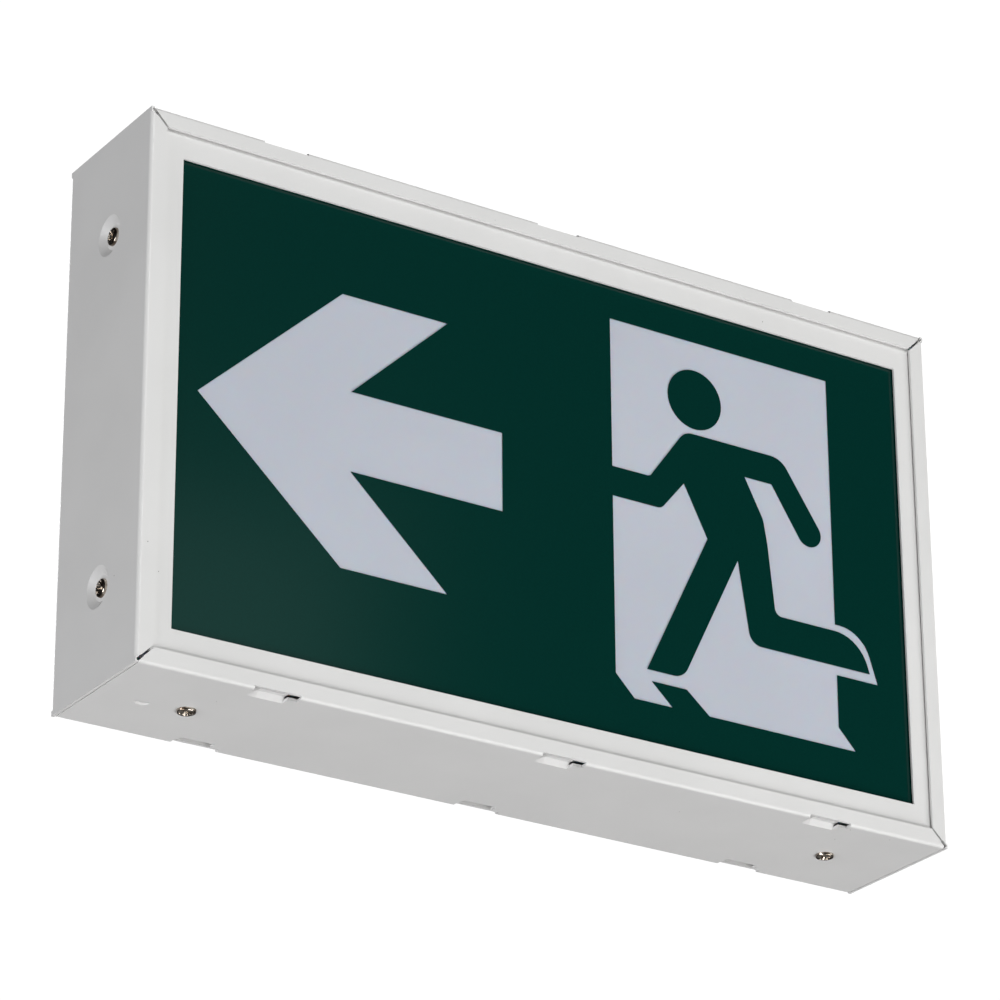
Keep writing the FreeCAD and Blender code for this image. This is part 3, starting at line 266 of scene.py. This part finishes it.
def painted(node, radius_mm):
    """The node's sheet metal with its cut edges rounded off by the paint."""
    mesh = NODES[node].data.copy()
    work = bmesh.new()
    work.from_mesh(mesh)
    bmesh.ops.remove_doubles(work, verts=work.verts, dist=WELD)
    bmesh.ops.dissolve_limit(work, angle_limit=FLAT_WITHIN, verts=work.verts, edges=work.edges)
    for face in work.faces:
        face.smooth = True
    work.to_mesh(mesh)
    work.free()
    piece = piece_from("painted_" + node, mesh)
    bevel = piece.modifiers.new("paint_edge", "BEVEL")
    bevel.width = radius_mm * MM
    bevel.segments = EDGE_STEPS
    bevel.limit_method = "ANGLE"
    bevel.angle_limit = EDGE_FROM
    even = piece.modifiers.new("flat_faces", "WEIGHTED_NORMAL")
    even.weight = LARGE_FACES_RULE
    even.keep_sharp = True
    finished(piece, node, SLOT_OF[node])


for panel in ("top_panel", "bottom_panel", "left_end_panel", "right_end_panel"):
    painted(panel, PANEL_EDGE_MM)
painted("front_faceplate", FRONT_EDGE_MM)
painted("back_plate", REAR_EDGE_MM)


# ------------------------------------------------------------------------- screws

HEAD_RADIUS = 3.15 * MM
HEAD_RISE = 1.35 * MM
DOME_FALL = 0.42       # share of the rise that the dome loses towards the rim
DOME_POWER = 3.2       # how late it falls
ROLL_FROM = 0.93       # share of the radius where the rim rolls over
ROLL_FALL = 0.55       # share of the rise that the roll takes off
ARM_WIDTH = 1.15 * MM  # the cross recess
ARM_SPAN = 4.7 * MM
ARM_SLOPE = 4.5        # depth gained for each unit in from an arm's long wall
END_SLOPE = 0.5        # an arm's end is this much less steep than its long walls
CORE_RADIUS = 1.35 * MM
CORE_SLOPE = 1.4
RECESS_DEPTH = 1.7 * MM
SHANK_RADIUS = 2.0 * MM
SHANK_LENGTH = 6.2 * MM
TIP_RADIUS = 1.4 * MM
TIP_LENGTH = 7.0 * MM
TURNS = 96
RINGS = 34


def head_height(x, y):
    """Height of the pan head over its seat, with a tapered cross recess."""
    out = math.hypot(x, y)
    reach = out / HEAD_RADIUS
    dome = HEAD_RISE * (1 - DOME_FALL * reach ** DOME_POWER)
    if reach > ROLL_FROM:
        dome -= HEAD_RISE * ROLL_FALL * ((reach - ROLL_FROM) / (1 - ROLL_FROM)) ** 2
    across, along = sorted((abs(x), abs(y)))
    wall = min(ARM_WIDTH / 2 - across, (ARM_SPAN / 2 - along) * END_SLOPE)
    depth = max(wall * ARM_SLOPE, (CORE_RADIUS - out) * CORE_SLOPE)
    return dome - max(0.0, min(RECESS_DEPTH, depth))


def circle(radius):
    """Points round the screw's axis, or the one on it where the radius is nought."""
    angles = [2 * math.pi * step / TURNS for step in range(TURNS if radius else 1)]
    return [(radius * math.cos(angle), radius * math.sin(angle)) for angle in angles]


def screw_rows():
    """Rows of points from the middle of the head, over its rim and down to the shank's tip."""
    head = [[(x, y, head_height(x, y)) for x, y in circle(HEAD_RADIUS * ring / RINGS)]
            for ring in range(RINGS + 1)]
    below = ((HEAD_RADIUS, 0.0), (SHANK_RADIUS, 0.0), (SHANK_RADIUS, -SHANK_LENGTH),
             (TIP_RADIUS, -TIP_LENGTH))
    return head + [[(x, y, height) for x, y in circle(radius)] for radius, height in below]


def screws(name, node, seats):
    """Pan heads with a cross recess and a plain shank, one mesh for a node's screws."""
    work = bmesh.new()
    for seat, outward, spin in seats:
        turn = outward.to_track_quat("Z", "Y").to_matrix().to_4x4()
        place = Matrix.Translation(seat) @ turn @ Matrix.Rotation(spin, 4, "Z")
        rows = [[work.verts.new(place @ Vector(point)) for point in row] for row in screw_rows()]
        for step in range(TURNS):
            after = (step + 1) % TURNS
            work.faces.new((rows[0][0], rows[1][step], rows[1][after]))
            for inner, outer in zip(rows[1:], rows[2:]):
                work.faces.new((inner[step], outer[step], outer[after], inner[after]))
        work.faces.new(rows[-1])
    for face in work.faces:
        face.smooth = True
    bmesh.ops.recalc_face_normals(work, faces=work.faces)
    mesh = bpy.data.meshes.new(name)
    work.to_mesh(mesh)
    work.free()
    finished(piece_from(name, mesh), node, SLOT_OF[node])


# A seat lies a head's rise inside its node's box, and its axis a head's radius inside.
# The spins, in radians, are how far the four screws of each kind happen to be turned.
side_low, side_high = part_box("side_screws")
panel_low, panel_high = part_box("panel_screws")

side_seats = []
for outward, seat, depth, spins in (
        (-1, side_low.x + HEAD_RISE, side_low.y + HEAD_RADIUS, (0.35, 1.1)),
        (1, side_high.x - HEAD_RISE, side_high.y - HEAD_RADIUS, (0.8, 0.2))):
    for height, spin in zip((side_high.z - HEAD_RADIUS, side_low.z + HEAD_RADIUS), spins):
        side_seats.append((Vector((seat, depth, height)), Vector((outward, 0, 0)), spin))
screws("side_screw_heads", "side_screws", side_seats)

panel_seats = []
panel_depth = (panel_low.y + panel_high.y) / 2
for outward, seat, spins in (
        (-1, panel_low.z + HEAD_RISE, (0.5, 1.2)),
        (1, panel_high.z - HEAD_RISE, (0.1, 0.9))):
    for across, spin in zip((panel_low.x + HEAD_RADIUS, panel_high.x - HEAD_RADIUS), spins):
        panel_seats.append((Vector((across, panel_depth, seat)), Vector((0, 0, outward)), spin))
screws("panel_screw_heads", "panel_screws", panel_seats)


# ------------------------------------------------------------------ floor and world

WHITE = (1.0, 1.0, 1.0, 1.0)
FLOOR_HEIGHT = -1.5
FLOOR_REACH = 8.0
FLOOR_SEEN = 0.78   # level at which the camera sees the floor
WORLD_SEEN = 1.05   # and the world behind it
WORLD_FILL = 0.02   # the light that the world gives the sign


def split_by_ray(tree, plain, seen, output):
    """Shows one shader to the camera and another to all other rays."""
    path = tree.nodes.new("ShaderNodeLightPath")
    choose = tree.nodes.new("ShaderNodeMixShader")
    tree.links.new(path.outputs["Is Camera Ray"], choose.inputs[0])
    tree.links.new(plain.outputs[0], choose.inputs[1])
    tree.links.new(seen.outputs[0], choose.inputs[2])
    tree.links.new(choose.outputs[0], output.inputs["Surface"])


def pale_floor():
    """Plain matt floor, seen evenly pale however little of the sign's light reaches it."""
    kit = Kit("pale_floor", Roughness=0.8, Base_Color=linear(150, 150, 150))
    seen = kit.node("ShaderNodeEmission", {"Color": WHITE, "Strength": FLOOR_SEEN})
    split_by_ray(kit.tree, kit.shader, seen, kit.tree.nodes["Material Output"])
    return kit.material


def backdrop(tree, strength):
    """White background of this strength."""
    shade = tree.nodes.new("ShaderNodeBackground")
    shade.inputs["Color"].default_value = WHITE
    shade.inputs["Strength"].default_value = strength
    return shade


mesh = bpy.data.meshes.new("floor")
mesh.from_pydata([(x * FLOOR_REACH, y * FLOOR_REACH, FLOOR_HEIGHT)
                  for x, y in ((-1, -1), (1, -1), (1, 1), (-1, 1))], [], [(0, 1, 2, 3)])
floor = piece_from("floor", mesh)
floor.data.materials.append(pale_floor())

world = bpy.data.worlds.new("studio")
bpy.context.scene.world = world
world.use_nodes = True
air = world.node_tree
air.nodes.clear()
sink = air.nodes.new("ShaderNodeOutputWorld")
split_by_ray(air, backdrop(air, WORLD_FILL), backdrop(air, WORLD_SEEN), sink)


# -------------------------------------------------------------------------- lamps

WARM = (1.0, 0.99, 0.975)
COOL = (0.975, 0.985, 1.0)
AQUA = (0.65, 1.0, 0.93)
PLAIN = (1.0, 1.0, 1.0)


def lamp(name, place, width, height, tint, watts):
    """Soft box that faces the middle of the sign, in metres."""
    light = bpy.data.lights.new(name, "AREA")
    light.shape = "RECTANGLE"
    light.size = width
    light.size_y = height
    light.energy = watts
    light.color = tint
    thing = bpy.data.objects.new(name, light)
    bpy.context.scene.collection.objects.link(thing)
    thing.location = place
    aim = (cad_bounds[0] + cad_bounds[1]) / 2 - Vector(place)
    thing.rotation_euler = aim.to_track_quat("-Z", "Y").to_euler()


lamp("key_high", (0.1, -2.2, 1.2), 0.6, 0.6, PLAIN, 28.5)
lamp("key_right", (1.9, -1.6, 0.0), 0.8, 0.8, WARM, 7.5)
lamp("under_fill", (0.6, -1.1, -1.3), 1.6, 0.7, PLAIN, 22.0)
lamp("left_low", (-1.5, -0.5, -1.3), 0.7, 0.7, COOL, 11.0)
lamp("left_level", (-2.3, 0.0, -0.4), 0.8, 0.8, COOL, 21.5)
lamp("film_glow", (0.7, -2.1, 0.6), 0.8, 0.7, AQUA, 1.1)
lamp("top_fill", (0.6, 0.6, 2.2), 1.2, 1.2, PLAIN, 12.0)
lamp("right_fill", (2.3, 0.9, 0.6), 1.2, 1.2, PLAIN, 12.0)
lamp("rear_fill", (0.75, 2.3, 1.2), 1.5, 1.2, PLAIN, 32.0)


# ------------------------------------------------------------------------- camera

EYE_PLACE = Vector((-0.75181, -1.16182, -0.61075))
HEADING = math.radians(33.0757)    # to the right of straight at the sign's face
PITCH = math.radians(24.5891)      # up from level
ROLL = math.radians(-0.2803)       # about the line of sight
LEVEL = math.radians(90)           # what turns Blender's camera from straight down to level

camera = bpy.data.cameras.new("camera")
camera.lens = 161.77
camera.sensor_width = 36.0
camera.shift_x = 0.01507
camera.shift_y = -0.01973
eye = bpy.data.objects.new("camera", camera)
bpy.context.scene.collection.objects.link(eye)
facing = Euler((LEVEL + PITCH, 0, -HEADING)).to_matrix() @ Matrix.Rotation(ROLL, 3, "Z")
eye.matrix_world = Matrix.Translation(EYE_PLACE) @ facing.to_4x4()
bpy.context.scene.camera = eye

view = bpy.context.scene.view_settings
view.view_transform = "Standard"
view.look = "None"
